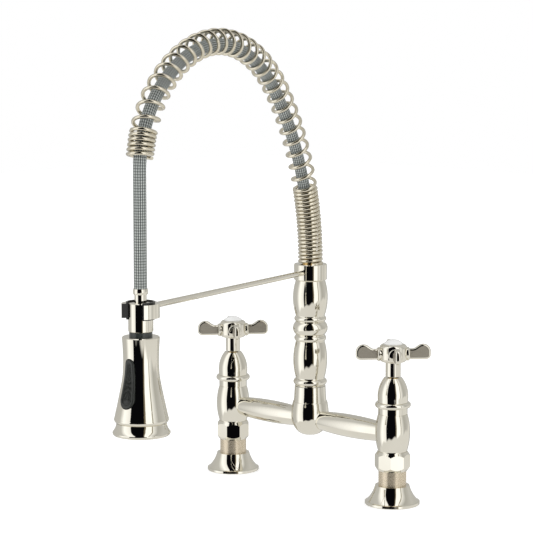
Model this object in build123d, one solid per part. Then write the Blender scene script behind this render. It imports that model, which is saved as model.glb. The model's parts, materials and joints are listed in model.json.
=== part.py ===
from build123d import *
import os
from math import cos, radians

os.makedirs("parts", exist_ok=True)

# Bridge faucet with a spring-guided pull-down spout. Millimetres, +Z up, deck at z = 0.
# The spout turns on the Z axis, midway between the two valves, which stand on the X axis.

# ---- overall layout ----
valve_spacing = 203.2  # standard 8 in deck hole centres
bridge_z = 64.5  # height of the bridge tubes
spout_turn = 12.0  # how far the spout stands turned from square, degrees
reach = 275.0  # column axis to spray head axis
left_handle_turn = 52.0  # where the cross handles stand when closed, degrees
right_handle_turn = 48.0
right_nut_turn = 12.0  # the right union nut was tightened to here
head_turn = -5.0  # how far the spray head stands turned on the wand

# ---- fits ----
running_fit = 0.05  # radial clearance of a shaft that turns or slides in its hole
seam_gap = 0.3  # axial gap where a turning piece meets a still one
thin_gap = 0.1  # face gap of pieces that slide on each other inside

# ---- deck valve ----
flange_r = 25.0
flange_lip = 2.6
flange_h = 17.4
flange_neck_r = 15.6
flange_hollow = 1.1  # how far its cone is dished
gasket_h = 1.2
gasket_r = 21.5
gasket_wall = 3.0
shank_r = 12.7
inlet_r = 9.3  # minor radius of the half-inch pipe thread
inlet_depth = 14.0
shank_bore_r = 7.5
shank_top = 38.0
nut_z = 31.2
nut_h = 17.6
nut_flat_r = 15.0  # centre to flat
nut_end_r = 13.6  # radius left on its end faces
nut_chamfer = 2.0  # height of the chamfer at the flats
washer_h = 2.0
body_z = 49.5  # bottom of the barrel, just over the nut
body_end_r = 13.4
body_belly_r = 15.9
body_belly_z = 67.0
body_groove_z = 83.0
body_groove = 0.7
body_top = 88.9
body_bore_r = 10.0
chamber_r = 8.6
chamber_top = 72.0
bead_r = 16.3
bead_h = 5.4
bonnet_r = 13.9
bonnet_top = 116.5
bonnet_top_r = 8.1

# ---- ceramic cartridge ----
cartridge_top = 108.0
disc_r = 7.5
disc_h = 3.5
stem_flange_h = 3.0
port_out = 4.0  # water ports of the discs, from the valve axis
stem_r = 4.2
stem_top = 134.0
port_r = 1.8

# ---- cross handle ----
sleeve_r = 6.9
hub_z = 130.8
hub_h = 16.4
hub_r = 12.5
hub_round = 3.2
paddle_tip = 34.6
paddle_base_z = 133.0
paddle_neck_h = 10.0
paddle_tail_h = 14.0
paddle_t = 4.8
paddle_ring_r = 6.3
paddle_ring_w = 2.0
button_r = 8.4
button_h = 6.4
button_seat = 2.2
button_rim = 3.0  # height of its side
screw_r = 2.0
screw_head_r = 5.0
screw_head_h = 1.8
screw_len = 11.0

# ---- bridge ----
tube_end_r = 8.7
tube_belly_r = 10.6
tube_spigot_r = 7.4
tube_bore_r = 5.2
oring_r = 0.7  # section radius of every O-ring
centre_r = 17.6
centre_bottom = 49.5
centre_top = 96.0
centre_top_r = 14.5
centre_bore_r = 11.0
centre_floor = 56.0
bush_z = 74.0

# ---- spout post ----
spigot_r = 9.0
spigot_z = 76.0
post_bore_r = 6.6
keeper_z = 88.0
keeper_r = 1.5
keeper_groove = 1.4
column_neck_r = 13.6
column = [  # low, high, widest radius of each turned ring, ball and vase
    (97.4, 103.2, 15.75),
    (104.0, 138.2, 15.95),
    (139.0, 144.2, 15.0),
    (144.9, 157.0, 16.3),
    (157.6, 162.2, 15.0),
    (162.9, 196.4, 16.3),
]
collar_r = 15.4
collar_h = 15.0
collar_bore_r = 10.9
seat_r = 8.0
seat_nose_r = 7.4
seat_nose_h = 9.0

# ---- support arm and clip ----
arm_r = 2.5
arm_z = 204.0
clip_z = 196.5
clip_h = 11.8
clip_t = 3.8
liner_t = 1.65
liner_over = 1.4  # the liner stands this much past the shell, top and bottom
clip_open = 42.0  # half angle of the opening, degrees
liner_lip = 3.0  # the lip that wraps each end of the shell, degrees

# ---- spring and hose ----
spring_r = 11.75
coil_wall = 1.15  # the coil's metal spread evenly over its outer shape
hose_r = 5.5
hose_bore_r = 3.8
hose_z = 92.0
lean_share, lean_angle = 0.909, 41.5  # the spring leans forward: radius as a share of reach
crown_share, crown_angle = 0.46, 94.5  # and bends over the crown
spring_end_angle = 7.7  # where the spring stops short of the vertical drop
crimp_len = 12.0

# ---- spray wand ----
ferrule_top = 220.3
ferrule_bead_h = 4.7
ferrule_bead_r = 6.25
ferrule_r = 5.1
neck_r = 10.35
neck_z = 184.8
neck_top = 208.7
neck_journal_r = 7.0
neck_journal_h = 12.0
snap_ring_h = 1.0
snap_ring_deep = 1.0
ring_r = 9.6
head_top = 180.7
head_z = 98.6
base_ring_h = 10.2
head_wall = 2.4
head_edge = 0.7
bell_h = 70.8  # spray body, from its foot to its rim
bell_foot_r = 21.2
bell_roll = (22.65, 1.9)  # widest point of the rolled foot: radius, and height above it
bell_curve = [  # radius, and share of bell_h above the foot
    (22.4, 0.055),
    (20.2, 0.195),
    (17.6, 0.371),
    (15.4, 0.549),
    (14.8, 0.690),
    (15.7, 1.0),
]
head_cap = 3.4
base_ring_r = 24.0
base_waist_r = 20.9
base_edge_h = 2.6  # height of the ring's widest point
lip_r = 19.6
lip_bore_r = 17.6
core_r = 8.0
valve_r = 5.6
valve_h = 9.0
channel_r = 0.8
channel_out = 6.9
channel_top = 121.0
spray_room_h = 2.0
face_r = 19.0
face_z = 100.4
face_t = 2.4
nozzle_r = 0.9
nozzle_tip = 0.9
nozzle_hole_r = 0.35
nozzle_rings = ((9.6, 12), (12.8, 18), (16.0, 24))  # radius and count
aerator_r = 6.0

# ---- rocker on the spray head ----
rocker_z = 143.2
rocker_len = 40.0
rocker_top_w = 8.8
rocker_low_w = 14.5
rocker_proud = 1.0
rocker_t = 2.7
rocker_gap = 0.7
rocker_pin_r = 0.9
rocker_pin_out = 10.4  # pin axis to head axis
rocker_lug_w = 5.0
rocker_lug_h = 4.4
rocker_ear_w = 2.0
plunger_r = 1.6
plunger_drop = 14.0  # plunger axis below the rocker's pin

half = valve_spacing / 2
body_tail_z = shank_top + washer_h
hub_top = hub_z + hub_h
post_top = column[-1][1]
collar_top = post_top + collar_h
clip_top = clip_z + clip_h
liner_r = neck_r + liner_t
clip_r = liner_r + clip_t
core_top = neck_z - neck_journal_h - 1.0
face_top = face_z + face_t
sleeve_z = bonnet_top + 0.8
oring_h = 2 * oring_r
low_align = (Align.CENTER, Align.CENTER, Align.MIN)
turning_z = chamber_top + disc_h + thin_gap
drive_z = turning_z + disc_h
seat_z = post_top + 6.0
keeper_slack = 0.5
keeper_start = spigot_r - keeper_groove + 0.4
seal_heights = (spigot_z + 3.5, spigot_z + 6.8)
tube_start = centre_bore_r + 0.5
tube_end = half - chamber_r - 1.5
seal_places = (tube_start + 2.2, tube_end - 2.2)
clip_start, clip_end = clip_open - 90, 270 - clip_open
ferrule_z = neck_top - 9.0
bead_z = ferrule_top - ferrule_bead_h
crimp_z = bead_z + 0.6
journal_z = neck_z - neck_journal_h
cap_z = head_top - head_cap
wand_seal_z = cap_z + head_cap / 2
snap_ring_z = cap_z - thin_gap - snap_ring_h
bell_z = head_z + base_ring_h + 0.4
lip_z = head_z + base_ring_h - 1.0
lip_top = lip_z + 5.0
core_z = face_top + spray_room_h
ear_out = rocker_pin_out + rocker_pin_r + 0.4


def lathe(outline):
    """Solid of revolution about Z from a closed outline of edges in (radius, height)."""
    return revolve(Plane.XZ * make_face(outline), Axis.Z)


def ring(outer, inner, low, high):
    """Plain tube between two heights."""
    return Pos(0, 0, low) * extrude(Circle(outer) - Circle(inner), high - low)


def rod(radius, low, high):
    """Plain cylinder between two heights."""
    return Pos(0, 0, low) * extrude(Circle(radius), high - low)


def cross_rod(radius, start, end, z, turn=0.0):
    """Cylinder along a ray from the Z axis, between two distances from it."""
    return Rot(0, 0, turn) * Pos(start, 0, z) * Rot(0, 90, 0) * extrude(Circle(radius), end - start)


def turned(curve, inner=0.0):
    """Solid of revolution inside an outer curve of edges, bottom to top, with a bore."""
    low, high = curve[0] @ 0, curve[-1] @ 1
    sides = [Line((inner, low.Y), (low.X, low.Y)), Line((high.X, high.Y), (inner, high.Y))]
    return lathe([*curve, *sides, Line((inner, high.Y), (inner, low.Y))])


def groove(radius, z):
    """Cutter for an O-ring groove around a shaft, and the ring that fills it."""
    cutter = ring(radius + 1, radius - oring_h, z - oring_r, z + oring_r)
    return cutter, Pos(0, 0, z) * Torus(radius - oring_r, oring_r)


# ---- deck valves ----


def flange():
    foot = Line((flange_r - 0.5, 0), (flange_r, 0.6))
    lip = Line((flange_r, 0.6), (flange_r, flange_lip))
    middle = (flange_r + flange_neck_r) / 2 - flange_hollow
    foot_of_flare = (flange_r - 1.4, flange_lip + 0.6)
    step = Line((flange_r, flange_lip), foot_of_flare)
    flare = ThreePointArc(foot_of_flare, (middle, flange_h / 2), (flange_neck_r, flange_h))
    relief = ring(gasket_r - gasket_wall - 1, shank_r + 2, 0, 5)
    return turned([foot, lip, step, flare], shank_r) - gasket() - relief


def gasket():
    return ring(gasket_r, gasket_r - gasket_wall, 0, gasket_h)


def shank():
    return ring(shank_r, shank_bore_r, 0, shank_top) - rod(inlet_r, 0, inlet_depth)


def union_nut():
    flats = extrude(RegularPolygon(nut_flat_r, 8, major_radius=False, rotation=22.5), nut_h)
    corner_r = nut_flat_r / cos(radians(22.5))
    rise = nut_chamfer * (corner_r - nut_end_r) / (nut_flat_r - nut_end_r)
    faced = [
        Line((nut_end_r, 0), (corner_r, rise)),
        Line((corner_r, rise), (corner_r, nut_h - rise)),
        Line((corner_r, nut_h - rise), (nut_end_r, nut_h)),
    ]
    return Pos(0, 0, nut_z) * (flats & turned(faced, shank_r))


def union_washer():
    return ring(shank_r, shank_bore_r, shank_top, body_tail_z)


def body_outline():
    belly = ThreePointArc((body_end_r, body_z), (body_belly_r, body_belly_z), (body_end_r, body_groove_z))
    cut_r = body_end_r - body_groove
    groove_top = body_groove_z + body_groove
    return [
        belly,
        Line((body_end_r, body_groove_z), (cut_r, body_groove_z)),
        Line((cut_r, body_groove_z), (cut_r, groove_top)),
        Line((cut_r, groove_top), (body_end_r, groove_top)),
        Line((body_end_r, groove_top), (body_end_r, body_top)),
    ]


def body_blank():
    """Valve body before boring."""
    return turned(body_outline())


def valve_body(side):
    """Valve body whose side port points to +X (side 1) or -X (side -1)."""
    tail = rod(shank_r, body_tail_z, body_z)
    bores = rod(chamber_r, body_tail_z, chamber_top) + rod(body_bore_r, chamber_top, body_top)
    port = cross_rod(tube_spigot_r, 0, body_belly_r + 2, bridge_z, 0 if side > 0 else 180)
    return body_blank() + tail - bores - port


def cartridge():
    """Cartridge housing: holds both ceramic discs and guides the stem."""
    shell = rod(body_bore_r, chamber_top, cartridge_top)
    disc_space = rod(disc_r, chamber_top, drive_z + stem_flange_h + thin_gap)
    return shell - disc_space - rod(stem_r + running_fit, chamber_top, cartridge_top)


def ported_disc(radius, z):
    """Ceramic disc with two water ports."""
    ports = [Pos(0, y, 0) * rod(port_r, z, z + disc_h) for y in (-port_out, port_out)]
    return rod(radius, z, z + disc_h) - ports[0] - ports[1]


def bonnet():
    foot_r = bonnet_r - 0.1
    bead = ThreePointArc((foot_r, body_top), (bead_r, body_top + bead_h / 2), (foot_r, body_top + bead_h))
    wall = Line((foot_r, body_top + bead_h), (bonnet_r, body_top + bead_h + 4))
    dome_mid = (bonnet_r - 1.6, body_top + bead_h + 14.5)
    dome = ThreePointArc((bonnet_r, body_top + bead_h + 4), dome_mid, (bonnet_top_r, bonnet_top))
    outer = turned([bead, wall, dome])
    return outer - rod(body_bore_r, body_top, cartridge_top) - rod(stem_r + 0.8, cartridge_top, bonnet_top)


# ---- cross handles, built on the Z axis with one arm along +X ----


def stem():
    drive = rod(disc_r - running_fit, drive_z, drive_z + stem_flange_h)
    return drive + rod(stem_r, drive_z, stem_top) - rod(screw_r, stem_top - screw_len, stem_top)


def paddle():
    """One arm of the cross: flat sided, straight below, with a raised tail above."""
    low, neck = paddle_base_z, paddle_base_z + paddle_neck_h
    tail = paddle_base_z + paddle_tail_h
    root, waist, crest = hub_r - 2, hub_r + 5, paddle_tip - 7
    tip_low, tip_high = (paddle_tip - 3.2, low), (paddle_tip - 0.9, tail - 5)
    dip = ((waist + crest) / 2, (tail + neck) / 2)
    outline = [
        Line((root, low), tip_low),
        ThreePointArc(tip_low, (paddle_tip - 0.3, low + 4), tip_high),
        ThreePointArc(tip_high, (paddle_tip - 2.9, tail - 1.4), (crest, tail)),
        Spline((crest, tail), dip, (waist, neck), tangents=((-1, 0.1), (-1, 0))),
        Line((waist, neck), (root, neck)),
        Line((root, neck), (root, low)),
    ]
    return extrude(Plane.XZ * make_face(outline), paddle_t / 2, both=True)


def cross_handle():
    lower, upper = hub_z + hub_round, hub_top - hub_round
    outline = [
        Line((sleeve_r, sleeve_z), (sleeve_r, hub_z)),
        Line((sleeve_r, hub_z), (hub_r - hub_round, hub_z)),
        RadiusArc((hub_r - hub_round, hub_z), (hub_r, lower), -hub_round),
        Line((hub_r, lower), (hub_r, upper)),
        RadiusArc((hub_r, upper), (hub_r - hub_round, hub_top), -hub_round),
    ]
    handle = turned(outline)
    middle = paddle_base_z + paddle_neck_h / 2
    for turn in range(0, 360, 90):
        handle += Rot(0, 0, turn) * paddle()
        handle += cross_rod(paddle_ring_r, hub_r - 2, hub_r + paddle_ring_w, middle, turn)
    recess = rod(screw_head_r, stem_top, hub_top) + rod(button_r, hub_top - button_seat, hub_top)
    return handle - rod(stem_r, sleeve_z, stem_top) - recess


def handle_screw():
    hex_socket = Pos(0, 0, stem_top + 0.8) * extrude(RegularPolygon(1.3, 6), screw_head_h)
    head = rod(screw_head_r, stem_top, stem_top + screw_head_h)
    return rod(screw_r, stem_top - screw_len, stem_top) + head - hex_socket


def porcelain_button():
    """Round button whose dome meets its side at the rim."""
    low = hub_top - button_seat
    top = low + button_h
    rise = button_h - button_rim
    dome_r = (button_r**2 + rise**2) / (2 * rise)
    return rod(button_r, low, top) & Pos(0, 0, top - dome_r) * Sphere(dome_r)


# ---- bridge ----


def centre_outline():
    """Bell of the centre hub, from its round bottom up to its neck."""
    return [
        Spline(
            (0, centre_bottom),
            (centre_r * 0.55, centre_bottom + 1.8),
            (centre_r * 0.93, centre_bottom + 10.5),
            (centre_r, centre_bottom + 21.0),
            (centre_r - 1.4, centre_bottom + 31.5),
            (centre_top_r, centre_top),
            tangents=((1, 0), (-0.05, 1)),
        )
    ]


def centre_blank():
    top = Line((centre_top_r, centre_top), (0, centre_top))
    return lathe([*centre_outline(), top, Line((0, centre_top), (0, centre_bottom))])


def keeper_hole(radius):
    """Cutter for the screw that keeps the spout in the hub."""
    return cross_rod(radius, keeper_start, centre_r + 1, keeper_z, 90)


def bridge_hub():
    water = rod(centre_bore_r - 1.4, centre_floor, bush_z)
    seat = rod(centre_bore_r, bush_z, centre_top)
    port = cross_rod(tube_spigot_r, 0, centre_r + 2, bridge_z)
    return centre_blank() - water - seat - port - Rot(0, 0, 180) * port - keeper_hole(keeper_r)


def swivel_bush():
    bush = ring(centre_bore_r, spigot_r + running_fit, bush_z, centre_top - 0.2)
    return bush - keeper_hole(keeper_r)


def hex_socket(end, z):
    """Cutter for the hexagon in a grub screw that ends at this distance behind the axis."""
    return Pos(0, end - 1.5, z) * Rot(-90, 0, 0) * extrude(RegularPolygon(0.9, 6), 2)


def keeper_screw():
    end = centre_top_r - 0.2
    return cross_rod(keeper_r, keeper_start, end, keeper_z, 90) - hex_socket(end, keeper_z)


def tube_groove(x):
    """O-ring groove cutter and ring around a bridge tube's spigot."""
    cutter, seal = groove(tube_spigot_r, 0)
    return [Pos(x, 0, bridge_z) * Rot(0, 90, 0) * solid for solid in (cutter, seal)]


def bridge_tube():
    """Right-hand tube: swells between the hub and the valve body, with a spigot in each."""
    low, high = centre_r - 3, half - body_belly_r + 3
    swell = ThreePointArc((low, tube_end_r), ((low + high) / 2, tube_belly_r), (high, tube_end_r))
    ends = [Line((high, tube_end_r), (high, 0)), Line((low, 0), (low, tube_end_r))]
    outline = [swell, *ends, Line((high, 0), (low, 0))]
    barrel = Pos(0, 0, bridge_z) * revolve(Plane.XY * make_face(outline), Axis.X)
    barrel = barrel - centre_blank() - Pos(half, 0, 0) * body_blank()
    tube = barrel + cross_rod(tube_spigot_r, tube_start, tube_end, bridge_z)
    tube -= cross_rod(tube_bore_r, tube_start, tube_end, bridge_z)
    for x in seal_places:
        tube -= tube_groove(x)[0]
    return tube


# ---- spout post, collar, arm and clip ----


def spout_post():
    """Turned column: rings, ball and vases, on a spigot that turns in the hub."""
    foot = centre_top + seam_gap
    point = (centre_top_r, foot)
    outer = []
    for low, high, widest in column:
        outer.append(Line(point, (column_neck_r, low)))
        outer.append(ThreePointArc((column_neck_r, low), (widest, (low + high) / 2), (column_neck_r, high)))
        point = (column_neck_r, high)
    post = turned(outer) + rod(spigot_r, spigot_z, foot) + rod(collar_bore_r, post_top, collar_top)
    keeper_half = keeper_r + keeper_slack
    post -= ring(spigot_r + 1, spigot_r - keeper_groove, keeper_z - keeper_half, keeper_z + keeper_half)
    for z in seal_heights:
        post -= groove(spigot_r, z)[0]
    return post - rod(post_bore_r, spigot_z, collar_top) - rod(seat_r, seat_z, collar_top)


def spout_seals():
    return [groove(spigot_r, z)[1] for z in seal_heights]


def arm_collar():
    edge = 0.6
    outline = [
        Line((collar_r - edge, post_top), (collar_r, post_top + edge)),
        Line((collar_r, post_top + edge), (collar_r, collar_top - edge)),
        Line((collar_r, collar_top - edge), (collar_r - edge, collar_top)),
    ]
    holes = cross_rod(arm_r, 0, collar_r + 2, arm_z, -90) + cross_rod(keeper_r, 0, collar_r + 2, arm_z, 90)
    return turned(outline, collar_bore_r) - holes


def collar_screw():
    """Grub screw at the back of the collar, with a hexagon socket."""
    end = collar_r - 0.3
    return cross_rod(keeper_r, collar_bore_r, end, arm_z, 90) - hex_socket(end, arm_z)


def support_arm():
    return cross_rod(arm_r, collar_bore_r, reach - liner_r, arm_z, -90)


def sector(outer, inner, low, high, start, end):
    """Part of a ring between two angles, counted from +X."""
    outline = [
        Line((inner, low), (outer, low)),
        Line((outer, low), (outer, high)),
        Line((outer, high), (inner, high)),
        Line((inner, high), (inner, low)),
    ]
    return Rot(0, 0, start) * revolve(Plane.XZ * make_face(outline), Axis.Z, end - start)


def clip_shell():
    shell = sector(clip_r, liner_r, clip_z, clip_top, clip_start + liner_lip, clip_end - liner_lip)
    return shell - cross_rod(arm_r, liner_r - 1, clip_r + 1, arm_z, 90)


def clip_liner():
    inner = neck_r + running_fit
    liner = sector(liner_r, inner, clip_z - liner_over, clip_top + liner_over, clip_start, clip_end)
    liner += sector(clip_r, liner_r, clip_z, clip_top, clip_start, clip_start + liner_lip)
    return liner + sector(clip_r, liner_r, clip_z, clip_top, clip_end - liner_lip, clip_end)


# ---- spring and hose, along one route in the spout's own plane ----

side = Plane(origin=(0, 0, 0), x_dir=(0, -1, 0), z_dir=(-1, 0, 0))
fall_angle = 180 - lean_angle - crown_angle
lean = JernArc((0, collar_top), (0, 1), lean_share * reach, -lean_angle)
crown = JernArc(lean @ 1, lean % 1, crown_share * reach, -crown_angle)
fall_radius = (reach - (crown @ 1).X) / (1 - cos(radians(fall_angle)))
fall = JernArc(crown @ 1, crown % 1, fall_radius, -(fall_angle - spring_end_angle))
drop = JernArc(fall @ 1, fall % 1, fall_radius, -spring_end_angle)


def tube_along(edges, outer, inner):
    """Round tube swept along tangent lines and arcs."""
    path = Wire([side * edge for edge in edges])
    section = Plane(origin=path @ 0, z_dir=path % 0) * (Circle(outer) - Circle(inner))
    return sweep(section, path=path)


def guide_spring():
    """Outer shape of the coil, as a tube that holds as much metal as its wire."""
    return tube_along([lean, crown, fall], spring_r, spring_r - coil_wall)


def hose_run():
    return tube_along([Line((0, hose_z), (0, collar_top)), lean, crown, fall], hose_r, hose_bore_r)


def hose_drop():
    return tube_along([drop, Line(drop @ 1, (reach, crimp_z))], hose_r, hose_bore_r)


def spring_seat():
    """Sleeve that centres the coil's first turns, with a slimmer nose where the coil bends away."""
    inner = hose_r + seam_gap
    nose = ring(seat_nose_r, inner, collar_top, collar_top + seat_nose_h)
    return ring(seat_r, inner, seat_z, collar_top) + nose


def hose_base():
    """Brass fitting pressed in the post, crimped on the hose's end."""
    low = ring(post_bore_r, hose_bore_r, hose_z - crimp_len, hose_z)
    return low + ring(post_bore_r, hose_r, hose_z, hose_z + crimp_len)


# ---- spray wand, built on the Z axis: the part that stays still in the clip ----


def hose_ferrule():
    end_r = ferrule_bead_r - 0.35
    outline = [
        Line((ferrule_r, ferrule_z), (ferrule_r, bead_z)),
        Line((ferrule_r, bead_z), (end_r, bead_z)),
        ThreePointArc((end_r, bead_z), (ferrule_bead_r, bead_z + ferrule_bead_h / 2), (end_r, ferrule_top)),
    ]
    return turned(outline, hose_bore_r) - rod(hose_r, crimp_z, ferrule_top)


def wand_neck():
    """Plain sleeve that docks in the clip, with a journal below for the spray head."""
    edge = 0.5
    outline = [
        Line((neck_journal_r, journal_z), (neck_journal_r, neck_z)),
        Line((neck_journal_r, neck_z), (neck_r - edge, neck_z)),
        Line((neck_r - edge, neck_z), (neck_r, neck_z + edge)),
        Line((neck_r, neck_z + edge), (neck_r, neck_top - edge)),
        Line((neck_r, neck_top - edge), (neck_r - edge, neck_top)),
    ]
    neck = turned(outline, hose_bore_r) - rod(ferrule_r, ferrule_z, neck_top)
    return neck - groove(neck_journal_r, wand_seal_z)[0] - snap_ring_blank(neck_journal_r + 1)


def snap_ring_blank(outer):
    return ring(outer, neck_journal_r - snap_ring_deep, snap_ring_z, snap_ring_z + snap_ring_h)


def snap_ring():
    """Split ring in the journal's groove that carries the spray head's cap."""
    split = Pos(0, neck_journal_r, snap_ring_z) * Box(3, 6, 4)
    return snap_ring_blank(neck_journal_r + 1.4) - split


# ---- spray head, built on the Z axis with the rocker on the -Y side ----


def bell_outline(offset=0.0):
    """Outer curves of the spray body from the base ring up, moved out by offset."""
    places = [(radius + offset, bell_z + height * bell_h) for radius, height in bell_curve]
    roll = (bell_roll[0] + offset, bell_z + bell_roll[1])
    return [ThreePointArc((bell_foot_r + offset, bell_z), roll, places[0]), Spline(places)]


def bell_blank(offset):
    return turned(bell_outline(offset))


def spray_body():
    bell = bell_outline()
    top = bell[-1] @ 1
    rim = Line(top, (top.X - head_edge, head_top))
    inside = bell_blank(-head_wall) & (rod(lip_r, head_z, lip_top) + rod(base_ring_r, lip_top, cap_z))
    socket = rod(lip_r, head_z, lip_top)
    bore = rod(neck_journal_r + running_fit, head_z, head_top)
    return turned([*bell, rim]) - inside - socket - bore - rocker_shape(rocker_gap)


def rocker_shape(grow=0.0):
    """Tapered outline of the rocker with round ends, run through the head's front wall."""
    top_r, low_r = rocker_top_w / 2, rocker_low_w / 2
    top = Pos(0, rocker_len / 2 - top_r) * Circle(top_r + grow)
    low = Pos(0, low_r - rocker_len / 2) * Circle(low_r + grow)
    outline = make_hull([*top.edges(), *low.edges()])
    return Pos(0, -core_r - 0.5, rocker_z) * Rot(90, 0, 0) * extrude(outline, base_ring_r)


def rocker():
    pad = rocker_shape() & (bell_blank(rocker_proud) - bell_blank(-rocker_t))
    lug_in = rocker_pin_out - rocker_pin_r - 0.8
    lug_out = rocker_pin_out + 4.0
    lug = Pos(0, -(lug_in + lug_out) / 2, rocker_z) * Box(rocker_lug_w, lug_out - lug_in, rocker_lug_h)
    return pad + lug - pin_rod(rocker_pin_r + running_fit, rocker_top_w)


def pin_rod(radius, length):
    return Pos(-length / 2, -rocker_pin_out, rocker_z) * Rot(0, 90, 0) * extrude(Circle(radius), length)


def rocker_pin():
    return pin_rod(rocker_pin_r, rocker_lug_w + 2 * (seam_gap + rocker_ear_w))


def water_core():
    """Plastic waterway with the ears that carry the rocker's pin."""
    core = rod(core_r, core_z, core_top) + rod(face_r, core_z, lip_z)
    ear_in = core_r - 1.2
    for x in (-1, 1):
        ear_x = x * (rocker_lug_w / 2 + seam_gap + rocker_ear_w / 2)
        ear_y = -(ear_in + ear_out) / 2
        core += Pos(ear_x, ear_y, rocker_z) * Box(rocker_ear_w, ear_out - ear_in, rocker_lug_h)
    core -= rod(hose_bore_r, core_z, core_top) + rod(valve_r, core_top - valve_h, core_top)
    for turn in range(0, 360, 60):
        core -= Rot(0, 0, turn) * Pos(channel_out, 0, 0) * rod(channel_r, core_z, channel_top)
        core -= cross_rod(channel_r, 0, channel_out, channel_top - channel_r, turn)
    core -= plunger_rod(plunger_r + running_fit, 0, core_r + 1)
    return core - pin_rod(rocker_pin_r, 3 * rocker_lug_w)


def plunger_rod(radius, start, end):
    return cross_rod(radius, start, end, rocker_z - plunger_drop, -90)


def diverter_plunger():
    """Plunger pushed in by the rocker's lower end, its outer end shaped to the rocker's back."""
    blank = plunger_rod(plunger_r, hose_bore_r + 0.4, base_ring_r)
    return blank & bell_blank(-rocker_t - seam_gap)


def check_valve():
    """Cartridge check valve with its poppet's stem hole."""
    return ring(valve_r, 1.6, core_top - valve_h, core_top - 0.4)


def base_ring():
    """Metal ring around the face, with a lip above that seats in the spray body."""
    edge, top = head_z + base_edge_h, head_z + base_ring_h
    dish = (base_waist_r + 1.0, (edge + top) / 2 - 0.6)
    outline = [
        ThreePointArc((base_ring_r - 1.1, head_z), (base_ring_r - 0.3, head_z + 0.8), (base_ring_r, edge)),
        ThreePointArc((base_ring_r, edge), dish, (base_waist_r, top)),
    ]
    return turned(outline, face_r) + ring(lip_r, lip_bore_r, lip_z, lip_top)


def nozzle_places():
    return [place for radius, count in nozzle_rings for place in PolarLocations(radius, count)]


def face_plate():
    plate = ring(face_r, aerator_r, face_z, face_top)
    return plate - [place * rod(nozzle_r, face_z, face_top) for place in nozzle_places()]


def spray_nozzles():
    tip = Pos(0, 0, face_z - nozzle_tip) * Cone(nozzle_r * 0.6, nozzle_r, nozzle_tip, align=low_align)
    nozzle = tip + rod(nozzle_r, face_z, face_top) - rod(nozzle_hole_r, face_z - nozzle_tip, face_top)
    return [place * nozzle for place in nozzle_places()]


def aerator():
    """Screen holder in the middle of the face, with four bars across it."""
    shell = ring(aerator_r, aerator_r - 1.2, face_z - 1.0, core_z)
    bars = [Pos(0, y, face_z + 1) * Box(2 * aerator_r - 2, 0.6, 1.4) for y in (-3, -1, 1, 3)]
    return shell + bars


def head_ring():
    """Ring between the spray head and the wand's neck."""
    return ring(ring_r, neck_journal_r + seam_gap, head_top, neck_z - thin_gap)


# ---- assembly ----

spout = Rot(0, 0, spout_turn)
wand = spout * Pos(0, -reach, 0)
head = wand * Rot(0, 0, head_turn)

pieces = {
    "flange_gaskets": [Pos(x, 0, 0) * gasket() for x in (-half, half)],
    "union_washers": [Pos(x, 0, 0) * union_washer() for x in (-half, half)],
    "bridge_hub": bridge_hub(),
    "swivel_bush": swivel_bush(),
    "keeper_screw": keeper_screw(),
    "bridge_o_rings": [],
}
for name, side_sign, handle_turn, nut_turn in (
    ("left", -1, left_handle_turn, 0.0),
    ("right", 1, right_handle_turn, right_nut_turn),
):
    valve = Pos(side_sign * half, 0, 0)
    handle = valve * Rot(0, 0, handle_turn - 90)
    toward = Rot(0, 0, 0 if side_sign > 0 else 180)
    pieces[name + "_flange"] = valve * flange()
    pieces[name + "_shank"] = valve * shank()
    pieces[name + "_union_nut"] = valve * Rot(0, 0, nut_turn) * union_nut()
    pieces[name + "_valve_body"] = valve * valve_body(-side_sign)
    pieces[name + "_cartridge"] = valve * cartridge()
    pieces[name + "_seat_disc"] = valve * ported_disc(disc_r, chamber_top)
    pieces[name + "_bonnet"] = valve * bonnet()
    pieces[name + "_turning_disc"] = handle * ported_disc(disc_r - running_fit, turning_z)
    pieces[name + "_stem"] = handle * stem()
    pieces[name + "_cross_handle"] = handle * cross_handle()
    pieces[name + "_handle_screw"] = handle * handle_screw()
    pieces[name + "_button"] = handle * porcelain_button()
    pieces[name + "_bridge_tube"] = toward * bridge_tube()
    pieces["bridge_o_rings"] += [toward * tube_groove(x)[1] for x in seal_places]

for name, shape in {
    "spout_post": spout_post(),
    "spout_o_rings": spout_seals(),
    "arm_collar": arm_collar(),
    "collar_screw": collar_screw(),
    "support_arm": support_arm(),
    "spring_seat": spring_seat(),
    "guide_spring": guide_spring(),
    "hose_base": hose_base(),
    "hose_run": hose_run(),
    "hose_drop": hose_drop(),
}.items():
    pieces[name] = [spout * solid for solid in shape] if isinstance(shape, list) else spout * shape

for name, shape in {
    "clip_shell": clip_shell(),
    "clip_liner": clip_liner(),
    "hose_ferrule": hose_ferrule(),
    "wand_neck": wand_neck(),
    "wand_o_ring": groove(neck_journal_r, wand_seal_z)[1],
    "snap_ring": snap_ring(),
}.items():
    pieces[name] = wand * shape

for name, shape in {
    "head_ring": head_ring(),
    "spray_body": spray_body(),
    "water_core": water_core(),
    "check_valve": check_valve(),
    "base_ring": base_ring(),
    "face_plate": face_plate(),
    "spray_nozzles": spray_nozzles(),
    "aerator": aerator(),
    "rocker_pin": rocker_pin(),
    "rocker": rocker(),
    "diverter_plunger": diverter_plunger(),
}.items():
    pieces[name] = [head * solid for solid in shape] if isinstance(shape, list) else head * shape

for name, shape in pieces.items():
    items = shape if isinstance(shape, list) else [shape]
    solids = [solid for item in items for solid in item.solids()]
    export_step(Compound(children=solids), "parts/" + name + ".step")
    print(name, len(solids), round(sum(solid.volume for solid in solids)))
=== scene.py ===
import bmesh
import bpy
import json
import math
from mathutils import Matrix, Vector
from mathutils.bvhtree import BVHTree


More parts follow.
